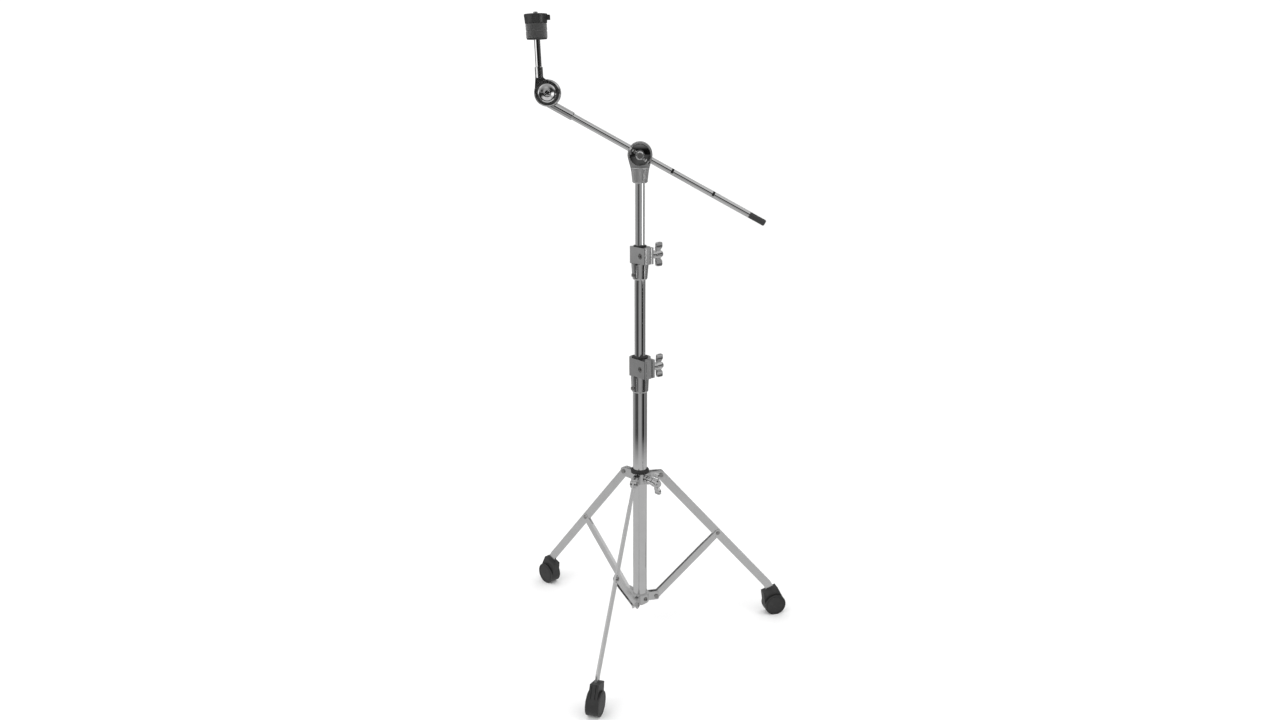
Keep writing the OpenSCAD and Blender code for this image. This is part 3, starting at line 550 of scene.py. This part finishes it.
# The studio as the chrome mirrors it: pale cards with dark gaps between them. A stop is the share of a turn
# round the stand and a shade; 0 and 1 are behind the stand, 0.25 is left, 0.5 the camera, 0.75 right.
LOW_CARDS = [
    (0.00, 0.6), (0.14, 0.66), (0.20, 0.6), (0.26, 0.42), (0.33, 0.3), (0.385, 0.14), (0.42, 0.5),
    (0.47, 0.62), (0.54, 0.62), (0.585, 0.5), (0.61, 0.2), (0.69, 0.16), (0.73, 0.6), (0.78, 0.42),
    (0.88, 0.5), (1.00, 0.6),
]
MIDDLE_CARDS = [
    (0.00, 0.6), (0.20, 0.62), (0.30, 0.58), (0.37, 0.46), (0.40, 0.10), (0.44, 0.32), (0.47, 0.55),
    (0.54, 0.62), (0.60, 0.48), (0.64, 0.5), (0.65, 1.7), (0.69, 1.7), (0.70, 0.7), (0.76, 0.55),
    (0.86, 0.5), (1.00, 0.6),
]
HIGH_CARDS = [
    (0.00, 0.6), (0.12, 0.3), (0.22, 0.35), (0.26, 0.85), (0.31, 1.1), (0.385, 1.1), (0.41, 0.3),
    (0.44, 0.12), (0.55, 0.12), (0.60, 0.18), (0.66, 0.25), (0.72, 0.3), (0.80, 0.3), (0.90, 0.5),
    (1.00, 0.6),
]
# Overhead the shade goes by the rise of the line of sight, from level to straight up.
OVERHEAD = [(0.0, 0.12), (0.28, 0.2), (0.42, 0.62), (0.6, 0.85), (0.8, 0.75), (1.0, 0.6)]
# Each row of cards gives way to the next between these two rises.
LOW_TO_MIDDLE = (-0.19, -0.16)
MIDDLE_TO_HIGH = (-0.08, -0.03)
HIGH_TO_OVERHEAD = (0.2, 0.45)
ROOM_STRENGTH = 1.1


def world_light():
    """Plain white for the picture and soft light; the studio of cards in reflections only."""
    world = bpy.data.worlds.new("studio")
    scene.world = world
    world.use_nodes = True
    world.node_tree.nodes.clear()
    g = Graph(world.node_tree)
    split = g.node("ShaderNodeSeparateXYZ")
    g.link(g.node("ShaderNodeTexCoord").outputs["Generated"], split.inputs[0])
    turn = g.math("ARCTAN2", split.outputs["X"], g.math("MULTIPLY", split.outputs["Y"], -1.0))
    share = g.math("ADD", g.math("DIVIDE", turn, TURN), 0.5)
    rise = split.outputs["Z"]
    cards = ramp(g, share, LOW_CARDS)
    for span, upper in (
        (LOW_TO_MIDDLE, ramp(g, share, MIDDLE_CARDS)),
        (MIDDLE_TO_HIGH, ramp(g, share, HIGH_CARDS)),
        (HIGH_TO_OVERHEAD, ramp(g, rise, OVERHEAD)),
    ):
        cards = g.mix(g.span(rise, *span, 0, 1), cards, upper)
    mirrored = g.node("ShaderNodeBackground")
    g.link(cards, mirrored.inputs["Color"])
    room = g.node("ShaderNodeBackground")
    room.inputs["Color"].default_value = grey(1.0)
    room.inputs["Strength"].default_value = ROOM_STRENGTH
    mix = g.node("ShaderNodeMixShader")
    g.link(g.node("ShaderNodeLightPath").outputs["Is Glossy Ray"], mix.inputs[0])
    g.link(room.outputs[0], mix.inputs[1])
    g.link(mirrored.outputs[0], mix.inputs[2])
    g.end("ShaderNodeOutputWorld", mix)


world_light()


def area_light(name, place, target, width, height, power):
    """A soft box at place, turned towards target; reflections don't show it."""
    data = bpy.data.lights.new(name, "AREA")
    data.shape = "RECTANGLE"
    data.size, data.size_y, data.energy = width, height, power
    lamp = bpy.data.objects.new(name, data)
    scene.collection.objects.link(lamp)
    lamp.location = place
    lamp.rotation_euler = (Vector(target) - Vector(place)).to_track_quat("-Z", "Y").to_euler()
    lamp.visible_glossy = False


STAND_MIDDLE = (0, 0, 0.5)
area_light("key", (-1.6, -1.5, 2.2), STAND_MIDDLE, 1.2, 1.6, 12)
area_light("fill", (1.9, -1.0, 1.2), STAND_MIDDLE, 1.0, 1.6, 6)

# ---------------------------------------------------------------- camera

CAMERA_PLACE = (0, -1.649, 0.9843)
CAMERA_PITCH = math.radians(15.39)  # below level
camera_data = bpy.data.cameras.new("camera")
camera_data.sensor_width = 36
camera_data.lens = 27.43
camera_data.clip_start = 0.05
camera = bpy.data.objects.new("camera", camera_data)
scene.collection.objects.link(camera)
camera.location = CAMERA_PLACE
camera.rotation_euler = (math.pi / 2 - CAMERA_PITCH, 0, 0)
scene.camera = camera
scene.view_settings.view_transform = "Standard"
